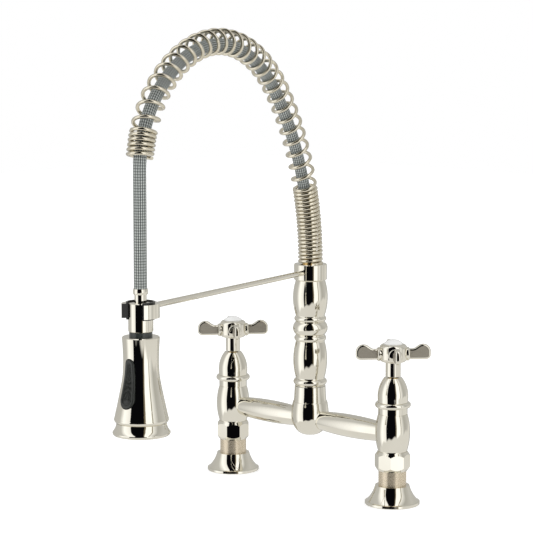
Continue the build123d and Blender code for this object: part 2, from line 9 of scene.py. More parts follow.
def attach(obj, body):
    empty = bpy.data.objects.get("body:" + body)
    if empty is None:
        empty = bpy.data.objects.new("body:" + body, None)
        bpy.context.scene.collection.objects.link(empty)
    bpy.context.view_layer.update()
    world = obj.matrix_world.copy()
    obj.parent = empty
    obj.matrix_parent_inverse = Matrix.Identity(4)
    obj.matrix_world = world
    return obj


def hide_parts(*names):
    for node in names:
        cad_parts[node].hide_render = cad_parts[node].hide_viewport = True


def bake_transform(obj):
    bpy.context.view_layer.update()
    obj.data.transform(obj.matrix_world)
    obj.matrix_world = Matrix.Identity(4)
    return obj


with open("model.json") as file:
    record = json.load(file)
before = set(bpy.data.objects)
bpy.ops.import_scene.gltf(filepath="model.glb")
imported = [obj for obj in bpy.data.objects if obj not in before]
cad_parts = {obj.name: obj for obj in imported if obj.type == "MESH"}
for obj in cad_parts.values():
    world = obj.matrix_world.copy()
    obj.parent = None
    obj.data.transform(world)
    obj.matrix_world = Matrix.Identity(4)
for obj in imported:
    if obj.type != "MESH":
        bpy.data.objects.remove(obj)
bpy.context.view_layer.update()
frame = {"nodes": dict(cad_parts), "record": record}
cadNodes = frame["nodes"]
print("frame loaded,", len(cadNodes), "nodes")


# ---- node helpers ----


def addNode(tree, kind, inputs=None, **settings):
    node = tree.nodes.new(kind)
    for key, value in settings.items():
        setattr(node, key, value)
    for key, value in (inputs or {}).items():
        if isinstance(value, bpy.types.NodeSocket):
            tree.links.new(value, node.inputs[key])
        else:
            node.inputs[key].default_value = value
    return node


def calc(tree, operation, first, second=0.0):
    node = addNode(tree, "ShaderNodeMath", {0: first, 1: second}, operation=operation)
    return node.outputs[0]


def rampNode(tree, factor, stops, interpolation="LINEAR"):
    node = addNode(tree, "ShaderNodeValToRGB", {0: factor})
    ramp = node.color_ramp
    ramp.interpolation = interpolation
    while len(ramp.elements) < len(stops):
        ramp.elements.new(0.5)
    for element, (place, colour) in zip(ramp.elements, stops):
        element.position = place
        element.color = (*colour, 1) if len(colour) == 3 else colour
    return node.outputs[0]


# ---- finishes ----


def finish(name, roughness, metallic=0.0, **sockets):
    material = bpy.data.materials.new(name)
    material.use_nodes = True
    tree = material.node_tree
    surface = tree.nodes["Principled BSDF"]
    surface.inputs["Roughness"].default_value = roughness
    surface.inputs["Metallic"].default_value = metallic
    for key, value in sockets.items():
        surface.inputs[key].default_value = value
    place = addNode(tree, "ShaderNodeTexCoord").outputs["Object"]
    return material, tree, surface, place


def noiseOf(tree, place, scale, detail=2.0, stretch=(1, 1, 1)):
    mapped = addNode(tree, "ShaderNodeMapping", {"Vector": place, "Scale": stretch}).outputs[0]
    node = addNode(tree, "ShaderNodeTexNoise", {"Vector": mapped, "Scale": scale, "Detail": detail})
    return node.outputs["Fac"]


def rangeOf(tree, value, low, high, fromLow=0.3, fromHigh=0.7):
    inputs = {"Value": value, "From Min": fromLow, "From Max": fromHigh, "To Min": low, "To Max": high}
    return addNode(tree, "ShaderNodeMapRange", inputs).outputs[0]


def bumpOn(tree, surface, height, strength, distance):
    bump = addNode(tree, "ShaderNodeBump", {"Height": height, "Strength": strength, "Distance": distance})
    tree.links.new(bump.outputs[0], surface.inputs["Normal"])


nickel = {
    "warm": (0.800, 0.768, 0.675),
    "pale": (0.850, 0.822, 0.735),
    "smooth": 0.008,
    "hazy": 0.032,
    "polishMark": 0.02,
    "markDepth": 0.000006,
}


def platedFinish(name, shade=1.0, hazier=0.0):
    material, tree, surface, place = finish(name, nickel["hazy"], 1.0)
    cloud = noiseOf(tree, place, 38, 3)
    tint = addNode(tree, "ShaderNodeMix", {0: rangeOf(tree, cloud, 0, 1)}, data_type="RGBA")
    tint.inputs[6].default_value = (*[c * shade for c in nickel["warm"]], 1)
    tint.inputs[7].default_value = (*[c * shade for c in nickel["pale"]], 1)
    tree.links.new(tint.outputs[2], surface.inputs["Base Color"])
    smear = noiseOf(tree, place, 90, 4, (1, 1, 0.35))
    rough = rangeOf(tree, smear, nickel["smooth"] + hazier, nickel["hazy"] + hazier)
    tree.links.new(rough, surface.inputs["Roughness"])
    marks = noiseOf(tree, place, 2600, 2, (1, 1, 0.08))
    bumpOn(tree, surface, marks, nickel["polishMark"], nickel["markDepth"])
    return material


def wireFinish():
    material, tree, surface, place = finish("springWire", 0.12, 1.0)
    drawn = noiseOf(tree, place, 500, 3)
    stops = [(0.3, (0.70, 0.645, 0.515)), (0.7, (0.80, 0.755, 0.640))]
    tree.links.new(rampNode(tree, drawn, stops), surface.inputs["Base Color"])
    tree.links.new(rangeOf(tree, drawn, 0.07, 0.13), surface.inputs["Roughness"])
    bumpOn(tree, surface, noiseOf(tree, place, 2400, 2), 0.1, 0.00002)
    return material


def satinFinish(name, dark, light, smooth, rough, metallic):
    material, tree, surface, place = finish(name, rough, metallic)
    grain = noiseOf(tree, place, 1800, 3)
    tree.links.new(rampNode(tree, grain, [(0.3, dark), (0.7, light)]), surface.inputs["Base Color"])
    tree.links.new(rangeOf(tree, grain, smooth, rough), surface.inputs["Roughness"])
    bumpOn(tree, surface, grain, 0.25, 0.00006)
    return material


def mouldedFinish(name, dark, light, roughness, grainSize=1400, depth=0.00004, **sockets):
    material, tree, surface, place = finish(name, roughness, **sockets)
    mottle = noiseOf(tree, place, 60, 4)
    tree.links.new(rampNode(tree, mottle, [(0.25, dark), (0.75, light)]), surface.inputs["Base Color"])
    tree.links.new(rangeOf(tree, mottle, roughness * 0.85, roughness * 1.15), surface.inputs["Roughness"])
    bumpOn(tree, surface, noiseOf(tree, place, grainSize, 3), 0.3, depth)
    return material


def turnedFinish(name, dark, light):
    material, tree, surface, place = finish(name, 0.25, 1.0)
    rings = noiseOf(tree, place, 900, 2, (0.05, 0.05, 1))
    tree.links.new(rampNode(tree, rings, [(0.3, dark), (0.7, light)]), surface.inputs["Base Color"])
    tree.links.new(rangeOf(tree, rings, 0.18, 0.34), surface.inputs["Roughness"])
    bumpOn(tree, surface, rings, 0.2, 0.00005)
    return material


def braidFinish():
    material, tree, surface, place = finish("hoseBraid", 0.55)
    height = addNode(tree, "ShaderNodeAttribute", attribute_name="braidHeight").outputs["Fac"]
    fibre = noiseOf(tree, place, 3200, 2)
    # painted shade: the hose colour darkens with the weave's height, near black in the hollows between strands and
    # light on the strand crowns; the fibre noise adds random tone
    lit = calc(tree, "ADD", height, calc(tree, "MULTIPLY", calc(tree, "SUBTRACT", fibre, 0.5), 0.35))
    stops = [(0.14, (0.030, 0.034, 0.033)), (0.45, (0.17, 0.185, 0.18)), (0.80, (0.46, 0.49, 0.47))]
    tree.links.new(rampNode(tree, lit, stops), surface.inputs["Base Color"])
    bumpOn(tree, surface, fibre, 0.4, 0.00008)
    return material


finishes = {
    "plated_metal": platedFinish("polishedNickel"),
    "spring_steel": wireFinish(),
    "brass": turnedFinish("turnedBrass", (0.60, 0.42, 0.18), (0.78, 0.60, 0.30)),
    "steel": turnedFinish("brightSteel", (0.48, 0.48, 0.48), (0.66, 0.66, 0.65)),
    "ceramic_disc": mouldedFinish("lappedCeramic", (0.80, 0.80, 0.78), (0.92, 0.92, 0.90), 0.3),
    "porcelain": mouldedFinish("porcelainGlaze", (0.88, 0.88, 0.87), (0.93, 0.93, 0.92), 0.16, 120, 0.00002),
    "seal_rubber": mouldedFinish("sealRubber", (0.012, 0.012, 0.012), (0.03, 0.03, 0.03), 0.6),
    "hose_braid": braidFinish(),
    "black_plastic": mouldedFinish("blackPlastic", (0.003, 0.003, 0.0035), (0.009, 0.009, 0.010), 0.3),
    "white_plastic": mouldedFinish("whitePlastic", (0.72, 0.72, 0.70), (0.85, 0.85, 0.83), 0.4),
    "nozzle_rubber": mouldedFinish("nozzleRubber", (0.10, 0.10, 0.105), (0.17, 0.17, 0.175), 0.55),
}
finishes["porcelain"].node_tree.nodes["Principled BSDF"].inputs["Coat Weight"].default_value = 0.6
finishes["satin"] = satinFinish("satinNickel", (0.29, 0.265, 0.215), (0.40, 0.37, 0.31), 0.34, 0.46, 0.5)
finishes["rawShank"] = satinFinish("rawShank", (0.64, 0.55, 0.41), (0.74, 0.65, 0.51), 0.22, 0.32, 0.75)
finishes["gasketGreen"] = mouldedFinish("darkGasket", (0.022, 0.028, 0.026), (0.045, 0.052, 0.049), 0.22)
finishes["rocker"] = mouldedFinish(
    "rockerRubber", (0.014, 0.016, 0.014), (0.030, 0.033, 0.029), 0.32, 900, 0.00005)

for part in frame["record"]["subparts"]:
    cadNodes[part["node"]].data.materials.clear()
    cadNodes[part["node"]].data.materials.append(finishes[part["material_slot"]])
cadNodes["head_ring"].data.materials[0] = finishes["gasketGreen"]
for side in ("left", "right"):
    cadNodes[side + "_shank"].data.materials[0] = finishes["rawShank"]
print("finishes made,", len(finishes))


# ---- route of the spring and hose, in the spout's own upright plane ----

spoutPlan = {
    "turn": math.radians(12),
    "reach": 0.275,
    "collarTop": 0.2114,
    "leanRadius": 0.909 * 0.275,
    "leanAngle": math.radians(41.5),
    "crownRadius": 0.46 * 0.275,
    "crownAngle": math.radians(94.5),
    "springEndAngle": math.radians(7.7),
}


def spoutPoint(forward, height, sideways=0.0):
    turn = spoutPlan["turn"]
    x = forward * math.sin(turn) + sideways * math.cos(turn)
    return Vector((x, -forward * math.cos(turn) + sideways * math.sin(turn), height))


def routePoints():
    plan = spoutPlan
    points = []
    heading = math.pi / 2
    forward, height = 0.0, plan["collarTop"]
    fallAngle = math.pi - plan["leanAngle"] - plan["crownAngle"]
    crownForward = plan["leanRadius"] * (1 - math.cos(plan["leanAngle"]))
    crownForward += plan["crownRadius"] * (math.cos(plan["leanAngle"]) + math.cos(fallAngle))
    fallRadius = (plan["reach"] - crownForward) / (1 - math.cos(fallAngle))
    arcs = [
        (plan["leanRadius"], plan["leanAngle"]),
        (plan["crownRadius"], plan["crownAngle"] / 2),
        (plan["crownRadius"], plan["crownAngle"] / 2),
        (fallRadius, fallAngle - plan["springEndAngle"]),
        (fallRadius, plan["springEndAngle"]),
    ]
    for radius, angle in arcs:
        handle = 4 / 3 * math.tan(angle / 4) * radius
        ahead = (math.cos(heading), math.sin(heading))
        centre = (forward + radius * math.sin(heading), height - radius * math.cos(heading))
        nextHeading = heading - angle
        nextPlace = (centre[0] - radius * math.sin(nextHeading), centre[1] + radius * math.cos(nextHeading))
        nextAhead = (math.cos(nextHeading), math.sin(nextHeading))
        points.append((forward, height, ahead, handle, nextPlace, nextAhead))
        forward, height = nextPlace
        heading = nextHeading
    return points


def routeCurve(name, arcs, after=0.0):
    curve = bpy.data.curves.new(name, "CURVE")
    curve.dimensions = "3D"
    curve.resolution_u = 64
    spline = curve.splines.new("BEZIER")
    knots = []
    for index, (forward, height, ahead, handle, nextPlace, nextAhead) in enumerate(arcs):
        if index == 0:
            knots.append([(forward, height), ahead, handle, handle])
        else:
            knots[-1][3] = handle
        knots.append([nextPlace, nextAhead, handle, handle])
    if after:
        place, ahead = knots[-1][0], knots[-1][1]
        knots[-1][3] = after / 3
        end = (place[0] + ahead[0] * after, place[1] + ahead[1] * after)
        knots.append([end, ahead, after / 3, after / 3])
    spline.bezier_points.add(len(knots) - 1)
    for point, (place, ahead, back, front) in zip(spline.bezier_points, knots):
        point.handle_left_type = point.handle_right_type = "FREE"
        point.co = spoutPoint(*place)
        point.handle_left = spoutPoint(place[0] - ahead[0] * back, place[1] - ahead[1] * back)
        point.handle_right = spoutPoint(place[0] + ahead[0] * front, place[1] + ahead[1] * front)
    holder = bpy.data.objects.new(name, curve)
    bpy.context.scene.collection.objects.link(holder)
    return holder


# ---- geometry node helpers ----


def startTree(name, sizes):
    tree = bpy.data.node_groups.new(name, "GeometryNodeTree")
    kinds = {bool: "NodeSocketBool", int: "NodeSocketInt", float: "NodeSocketFloat"}
    for label, value in sizes.items():
        kind = kinds.get(type(value))
        if kind is None:
            kind = "NodeSocketObject" if isinstance(value, bpy.types.Object) else "NodeSocketMaterial"
        tree.interface.new_socket(label, in_out="INPUT", socket_type=kind)
    tree.interface.new_socket("Geometry", in_out="OUTPUT", socket_type="NodeSocketGeometry")
    return tree, tree.nodes.new("NodeGroupInput").outputs


def closeTree(tree, geometry, material):
    solid = addNode(tree, "GeometryNodeRealizeInstances", {0: geometry})
    painted = addNode(tree, "GeometryNodeSetMaterial", {0: solid.outputs[0], "Material": material})
    end = tree.nodes.new("NodeGroupOutput")
    tree.links.new(painted.outputs[0], end.inputs[0])


def growPiece(name, tree, sizes):
    host = bpy.data.objects.new(name + "Host", bpy.data.meshes.new(name + "Host"))
    bpy.context.scene.collection.objects.link(host)
    modifier = host.modifiers.new("grow", "NODES")
    modifier.node_group = tree
    for item in tree.interface.items_tree:
        if item.in_out == "INPUT" and item.name in sizes:
            modifier[item.identifier] = sizes[item.name]
    graph = bpy.context.evaluated_depsgraph_get()
    grown = host.evaluated_get(graph)
    mesh = bpy.data.meshes.new_from_object(grown, preserve_all_data_layers=True, depsgraph=graph)
    host.modifiers.clear()
    bpy.data.objects.remove(host)
    mesh.name = name
    piece = bpy.data.objects.new(name, mesh)
    bpy.context.scene.collection.objects.link(piece)
    for polygon in mesh.polygons:
        polygon.use_smooth = True
    print(name, "made,", len(mesh.polygons), "faces")
    return piece


# ---- guide spring: closed turns, open turns, closed turns ----

routeArcs = routePoints()
springRoute = routeCurve("springRoute", routeArcs[:4])
guideSpring = {
    "Route": springRoute,
    "Coil radius": 0.01175,
    "Wire radius": 0.00158,
    "Closed turns": 20.0,
    "Closed length": 0.0736,
    "Open turns": 28.0,
    "End turns": 6.0,
    "End length": 0.0221,
    "Turn steps": 30,
    "Wire sides": 12,
    "Start angle": 2.2,
    "Wire finish": finishes["spring_steel"],
}


def springTree(sizes):
    tree, given = startTree("coilOnRoute", sizes)
    route = addNode(tree, "GeometryNodeObjectInfo", {"Object": given["Route"]}, transform_space="ORIGINAL")
    turns = calc(tree, "ADD", given["Closed turns"], given["Open turns"])
    turns = calc(tree, "ADD", turns, given["End turns"])
    count = calc(tree, "MULTIPLY", turns, given["Turn steps"])
    fine = addNode(tree, "GeometryNodeResampleCurve", {"Curve": route.outputs["Geometry"], "Count": count})
    along = addNode(tree, "GeometryNodeSplineParameter").outputs["Length"]
    total = addNode(tree, "GeometryNodeCurveLength", {0: route.outputs["Geometry"]}).outputs[0]
    endStart = calc(tree, "SUBTRACT", total, given["End length"])

    def share(start, stop, amount):
        inputs = {"Value": along, "From Min": start, "From Max": stop, "To Min": 0.0, "To Max": amount}
        return addNode(tree, "ShaderNodeMapRange", inputs).outputs[0]

    wound = calc(tree, "ADD", share(0.0, given["Closed length"], given["Closed turns"]),
                 share(given["Closed length"], endStart, given["Open turns"]))
    wound = calc(tree, "ADD", wound, share(endStart, total, given["End turns"]))
    angle = calc(tree, "ADD", calc(tree, "MULTIPLY", wound, 2 * math.pi), given["Start angle"])
    ahead = addNode(tree, "GeometryNodeInputTangent").outputs[0]
    across = addNode(tree, "GeometryNodeInputNormal").outputs[0]
    third = addNode(tree, "ShaderNodeVectorMath", {0: ahead, 1: across}, operation="CROSS_PRODUCT").outputs[0]
    middle = calc(tree, "SUBTRACT", given["Coil radius"], given["Wire radius"])
    reachOne = addNode(tree, "ShaderNodeVectorMath", {0: across}, operation="SCALE")
    tree.links.new(calc(tree, "MULTIPLY", middle, calc(tree, "COSINE", angle)), reachOne.inputs["Scale"])
    reachTwo = addNode(tree, "ShaderNodeVectorMath", {0: third}, operation="SCALE")
    tree.links.new(calc(tree, "MULTIPLY", middle, calc(tree, "SINE", angle)), reachTwo.inputs["Scale"])
    offset = addNode(tree, "ShaderNodeVectorMath",
                     {0: reachOne.outputs[0], 1: reachTwo.outputs[0]}, operation="ADD")
    coil = addNode(tree, "GeometryNodeSetPosition",
                   {"Geometry": fine.outputs[0], "Offset": offset.outputs[0]})
    section = addNode(tree, "GeometryNodeCurvePrimitiveCircle",
                      {"Resolution": given["Wire sides"], "Radius": given["Wire radius"]})
    wire = addNode(tree, "GeometryNodeCurveToMesh",
                   {"Curve": coil.outputs[0], "Profile Curve": section.outputs[0], "Fill Caps": True})
    closeTree(tree, wire.outputs[0], given["Wire finish"])
    return tree


springPiece = growPiece("guideSpring", springTree(guideSpring), guideSpring)
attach(springPiece, "spout")
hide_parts("guide_spring")

# ---- braided hose: a round tube whose surface is pushed out by the weave ----

hose = {
    "Route": springRoute,
    "Hose radius": 0.0053,
    "Rows per turn": 9.0,
    "Weave length": 0.0046,
    "Weave depth": 0.00028,
    "Sag inward": 0.0030,
    "Side x": math.cos(spoutPlan["turn"]),
    "Side y": math.sin(spoutPlan["turn"]),
    "Step": 0.00052,
    "Sides": 72,
    "Hose finish": finishes["hose_braid"],
}


def hoseTree(sizes):
    tree, given = startTree("braidedTube", sizes)
    route = addNode(tree, "GeometryNodeObjectInfo", {"Object": given["Route"]}, transform_space="ORIGINAL")
    line = addNode(tree, "GeometryNodeResampleCurve",
                   {"Curve": route.outputs["Geometry"], "Length": given["Step"]}, mode="LENGTH")
    parameter = addNode(tree, "GeometryNodeSplineParameter")
    # the hose rests against the inside of the bend, and is centred again at both ends
    lift = calc(tree, "SINE", calc(tree, "MULTIPLY", parameter.outputs["Factor"], math.pi))
    side = addNode(tree, "ShaderNodeCombineXYZ", {0: given["Side x"], 1: given["Side y"]}).outputs[0]
    ahead = addNode(tree, "GeometryNodeInputTangent").outputs[0]
    inward = addNode(tree, "ShaderNodeVectorMath", {0: side, 1: ahead}, operation="CROSS_PRODUCT").outputs[0]
    shift = addNode(tree, "ShaderNodeVectorMath", {0: inward}, operation="SCALE")
    tree.links.new(calc(tree, "MULTIPLY", lift, given["Sag inward"]), shift.inputs["Scale"])
    line = addNode(tree, "GeometryNodeSetPosition", {"Geometry": line.outputs[0], "Offset": shift.outputs[0]})
    along = addNode(tree, "GeometryNodeCaptureAttribute", {0: line.outputs[0]})
    along.capture_items.new("FLOAT", "along")
    tree.links.new(parameter.outputs["Length"], along.inputs["along"])
    section = addNode(tree, "GeometryNodeCurvePrimitiveCircle",
                      {"Resolution": given["Sides"], "Radius": given["Hose radius"]})
    around = addNode(tree, "GeometryNodeCaptureAttribute", {0: section.outputs[0]})
    around.capture_items.new("FLOAT", "around")
    tree.links.new(addNode(tree, "GeometryNodeSplineParameter").outputs["Factor"], around.inputs["around"])
    tube = addNode(tree, "GeometryNodeCurveToMesh",
                   {"Curve": along.outputs[0], "Profile Curve": around.outputs[0], "Fill Caps": True})
    turn = calc(tree, "MULTIPLY", around.outputs["around"], 2 * math.pi)
    turn = calc(tree, "MULTIPLY", turn, given["Rows per turn"])
    run = calc(tree, "DIVIDE", along.outputs["along"], given["Weave length"])
    run = calc(tree, "MULTIPLY", run, 2 * math.pi)
    rows = calc(tree, "ABSOLUTE", calc(tree, "COSINE", turn))
    flip = calc(tree, "MULTIPLY", calc(tree, "SIGN", calc(tree, "COSINE", turn)), math.pi / 2)
    dashes = calc(tree, "ABSOLUTE", calc(tree, "COSINE", calc(tree, "ADD", run, flip)))
    dashes = calc(tree, "ADD", calc(tree, "MULTIPLY", dashes, 0.8), 0.2)
    height = calc(tree, "POWER", calc(tree, "MULTIPLY", rows, dashes), 0.7)
    # the stored height pushes the surface out and also sets the hose colour, as painted shade in the weave's hollows
    # and painted light on its crowns
    stored = addNode(tree, "GeometryNodeStoreNamedAttribute",
                     {0: tube.outputs[0], "Name": "braidHeight", "Value": height}, data_type="FLOAT", domain="POINT")
    normal = addNode(tree, "GeometryNodeInputNormal").outputs[0]
    outward = addNode(tree, "ShaderNodeVectorMath", {0: normal}, operation="SCALE")
    tree.links.new(calc(tree, "MULTIPLY", height, given["Weave depth"]), outward.inputs["Scale"])
    woven = addNode(tree, "GeometryNodeSetPosition",
                    {"Geometry": stored.outputs[0], "Offset": outward.outputs[0]})
    closeTree(tree, woven.outputs[0], given["Hose finish"])
    return tree


hoseNodes = hoseTree(hose)
springHose = growPiece("springHose", hoseNodes, hose)
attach(springHose, "spout")
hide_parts("hose_run")

dropBottom = 0.2162
dropRoute = routeCurve("dropRoute", routeArcs[4:], after=routeArcs[4][4][1] - dropBottom)
dropHose = growPiece("dropHose", hoseNodes, {**hose, "Route": dropRoute, "Sag inward": 0.0, "Step": 0.0004})
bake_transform(dropHose)
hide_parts("hose_drop")
for route in (springRoute, dropRoute):
    bpy.data.objects.remove(route)


# ---- lathed and bevelled shapes ----


def solidPiece(name, mesh, materials):
    piece = bpy.data.objects.new(name, mesh)
    bpy.context.scene.collection.objects.link(piece)
    for material in materials:
        mesh.materials.append(material)
    weighted = piece.modifiers.new("weighted", "WEIGHTED_NORMAL")
    weighted.keep_sharp = True
    graph = bpy.context.evaluated_depsgraph_get()
    baked = bpy.data.meshes.new_from_object(piece.evaluated_get(graph), depsgraph=graph)
    piece.modifiers.clear()
    piece.data = baked
    bpy.data.meshes.remove(mesh)
    baked.name = name
    return piece


def arcPoints(centre, radius, start, end, steps):
    points = []
    for step in range(steps + 1):
        angle = math.radians(start + (end - start) * step / steps)
        points.append((centre[0] + radius * math.cos(angle), centre[1] + radius * math.sin(angle)))
    return points


def latheInto(shape, outline, steps, turn=None):
    rings = []
    for radius, height in outline:
        ring = []
        for step in range(steps):
            angle = 2 * math.pi * step / steps
            place = Vector((radius * math.cos(angle), radius * math.sin(angle), height))
            ring.append(shape.verts.new(turn @ place if turn else place))
        rings.append(ring)
    for low, high in zip(rings, rings[1:]):
        for step in range(steps):
            following = (step + 1) % steps
            shape.faces.new((low[step], low[following], high[following], high[step]))
    return rings


# ---- cross handles ----

crossHandle = {
    "valveOut": 0.1016,
    "turns": {"left": 52.0, "right": 48.0},
    "sleeveRadius": 0.0069,
    "sleeveLow": 0.1173,
    "hubLow": 0.1308,
    "hubHigh": 0.1472,
    "hubRadius": 0.0125,
    "hubRound": 0.0036,
    "buttonSeat": 0.0084,
    "seatDepth": 0.0022,
    "boreRadius": 0.0042,
    "neckHeight": 0.1380,
    "neckRadius": 0.0063,
    "neckEnd": 0.0147,
    "paddleRoot": 0.0108,
    "paddleTip": 0.0346,
    "paddleLow": 0.1330,
    "paddleNeck": 0.1430,
    "paddleCrest": 0.1470,
    "paddleThick": 0.0048,
    "paddleBevel": 0.0018,
}


def paddleOutline(plan):
    tip, low, crest = plan["paddleTip"], plan["paddleLow"], plan["paddleCrest"]
    points = [(plan["paddleRoot"], low), (tip - 0.0046, low)]
    points += arcPoints((tip - 0.0046, low + 0.0042), 0.0042, -75, 0, 5)
    points += arcPoints((tip - 0.0074, crest - 0.0070), 0.0070, 5, 100, 9)
    crestOut, waistOut = tip - 0.0088, plan["hubRadius"] + 0.0052
    for step in range(1, 9):
        share = step / 8
        ease = share * share * (3 - 2 * share)
        height = crest - 0.0001 - (crest - plan["paddleNeck"]) * ease
        points.append((crestOut + (waistOut - crestOut) * share, height))
    points.append((plan["paddleRoot"], plan["paddleNeck"]))
    return points


def insetOutline(outline, inset):
    moved = []
    for index, place in enumerate(outline):
        before = Vector(place) - Vector(outline[index - 1])
        after = Vector(outline[(index + 1) % len(outline)]) - Vector(place)
        ahead = (before.normalized() + after.normalized()).normalized()
        corner = max(0.35, ahead.dot(before.normalized()))
        moved.append((place[0] - ahead.y * inset / corner, place[1] + ahead.x * inset / corner))
    return moved


def makeHandle(side):
    plan = crossHandle
    shape = bmesh.new()
    sleeve, bore, seat = plan["sleeveRadius"], plan["boreRadius"], plan["buttonSeat"]
    low, high, rounding = plan["hubLow"], plan["hubHigh"], plan["hubRound"]
    roundOut = plan["hubRadius"] - rounding
    hub = [(bore, plan["sleeveLow"]), (sleeve - 0.0005, plan["sleeveLow"])]
    hub += [(sleeve, plan["sleeveLow"] + 0.0005), (sleeve, low - 0.0006), (sleeve + 0.0006, low)]
    hub += arcPoints((roundOut, low + rounding), rounding, -90, 0, 8)
    hub += arcPoints((roundOut, high - rounding), rounding, 0, 90, 8)
    hub += [(seat + 0.0002, high), (seat, high - 0.0002)]
    hub += [(seat, high - plan["seatDepth"]), (bore, high - plan["seatDepth"])]
    hub.append(hub[0])
    latheInto(shape, hub, 64)
    bmesh.ops.remove_doubles(shape, verts=shape.verts, dist=1e-7)
    bmesh.ops.recalc_face_normals(shape, faces=shape.faces)
    hubMesh = bpy.data.meshes.new("hub")
    shape.to_mesh(hubMesh)
    shape.free()

    arms = bmesh.new()
    outline = paddleOutline(plan)
    half, bevel = plan["paddleThick"] / 2, plan["paddleBevel"]
    steps = 6
    for quarter in range(4):
        turn = Matrix.Rotation(quarter * math.pi / 2, 4, "Z")
        loops = []
        for face in (-1, 1):
            for step in range(steps + 1):
                angle = math.pi / 2 * (steps - step if face < 0 else step) / steps
                inset = bevel * (1 - math.cos(angle))
                across = face * (half - bevel * (1 - math.sin(angle)))
                places = insetOutline(outline, inset)
                loops.append([arms.verts.new(turn @ Vector((out, across, height))) for out, height in places])
        near = arms.faces.new(loops[0])
        far = arms.faces.new(list(reversed(loops[-1])))
        near.material_index = far.material_index = 1
        for first, second in zip(loops, loops[1:]):
            for step in range(len(outline)):
                following = (step + 1) % len(outline)
                arms.faces.new((first[following], first[step], second[step], second[following]))
        rise = Matrix.Translation(turn @ Vector((0, 0, plan["neckHeight"])))
        lie = rise @ turn @ Matrix.Rotation(math.pi / 2, 4, "Y")
        thick, end = plan["neckRadius"], plan["neckEnd"]
        neck = [(0.0002, end + 0.0004), (thick - 0.0026, end + 0.0004), (thick - 0.0007, end - 0.0001)]
        neck += [(thick, end - 0.0009), (thick, end - 0.0018), (thick - 0.0006, plan["paddleRoot"])]
        latheInto(arms, neck, 32, lie)
    bmesh.ops.recalc_face_normals(arms, faces=arms.faces)
    armMesh = bpy.data.meshes.new("arms")
    arms.to_mesh(armMesh)
    arms.free()

    metal = (finishes["plated_metal"], finishes["satin"])
    joined = bmesh.new()
    joined.from_mesh(hubMesh)
    joined.from_mesh(armMesh)
    stand = Matrix.Rotation(math.radians(plan["turns"][side] - 90), 4, "Z")
    sign = -1 if side == "left" else 1
    stand = Matrix.Translation((sign * plan["valveOut"], 0, 0)) @ stand
    joined.transform(stand)
    mesh = bpy.data.meshes.new(side + "Handle")
    joined.to_mesh(mesh)
    joined.free()
    bpy.data.meshes.remove(hubMesh)
    bpy.data.meshes.remove(armMesh)
    for polygon in mesh.polygons:
        polygon.use_smooth = True
    mesh.set_sharp_from_angle(angle=math.radians(50))
    piece = solidPiece(side + "Handle", mesh, metal)
    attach(piece, side + "_handle")
    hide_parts(side + "_cross_handle")
    print(piece.name, "made,", len(piece.data.polygons), "faces")


for side in ("left", "right"):
    makeHandle(side)


# ---- rocker: raised rim, sunken thumb rest with ridges that follow its outline ----

rockerPad = {
    "turn": math.radians(7),
    "middle": 0.1432,
    "length": 0.040,
    "topRadius": 0.0044,
    "lowRadius": 0.00725,
    "rimRound": 0.0009,
    "rimWidth": 0.0015,
    "dishRun": 0.0022,
    "dishDepth": 0.0013,
    "ridgePitch": 0.00125,
    "ridgeHeight": 0.00024,
    "thickness": 0.0026,
    "columns": 60,
    "rows": 190,
}


def padInset(plan, across, height):
    top = plan["middle"] + plan["length"] / 2 - plan["topRadius"]
    low = plan["middle"] - plan["length"] / 2 + plan["lowRadius"]
    span = top - low
    lean = (plan["lowRadius"] - plan["topRadius"]) / span
    upright = math.sqrt(1 - lean * lean)
    x, y = abs(across), height - low
    along = -lean * x + upright * y
    if along < 0:
        return plan["lowRadius"] - math.hypot(x, y)
    if along > upright * span:
        return plan["topRadius"] - math.hypot(x, y - span)
    return plan["lowRadius"] - (upright * x + lean * y)


def padWidth(plan, height):
    low, high = 0.0, plan["lowRadius"] * 1.2
    for _ in range(30):
        middle = (low + high) / 2
        if padInset(plan, middle, height) > 0:
            low = middle
        else:
            high = middle
    return low


def padRelief(plan, inset, height):
    edge = max(0.0, 1 - inset / plan["rimRound"])
    drop = plan["rimRound"] * (1 - math.sqrt(max(0.0, 1 - edge * edge)))
    share = min(1, max(0, (inset - plan["rimWidth"]) / plan["dishRun"]))
    dish = share * share * (3 - 2 * share)
    fromTop = (plan["middle"] + plan["length"] / 2 - height) / plan["length"]
    depth = plan["dishDepth"] * dish * (0.45 + 0.55 * min(1, fromTop * 1.6))
    ridge = plan["ridgeHeight"] * dish * math.cos(2 * math.pi * inset / plan["ridgePitch"])
    return ridge - drop - depth


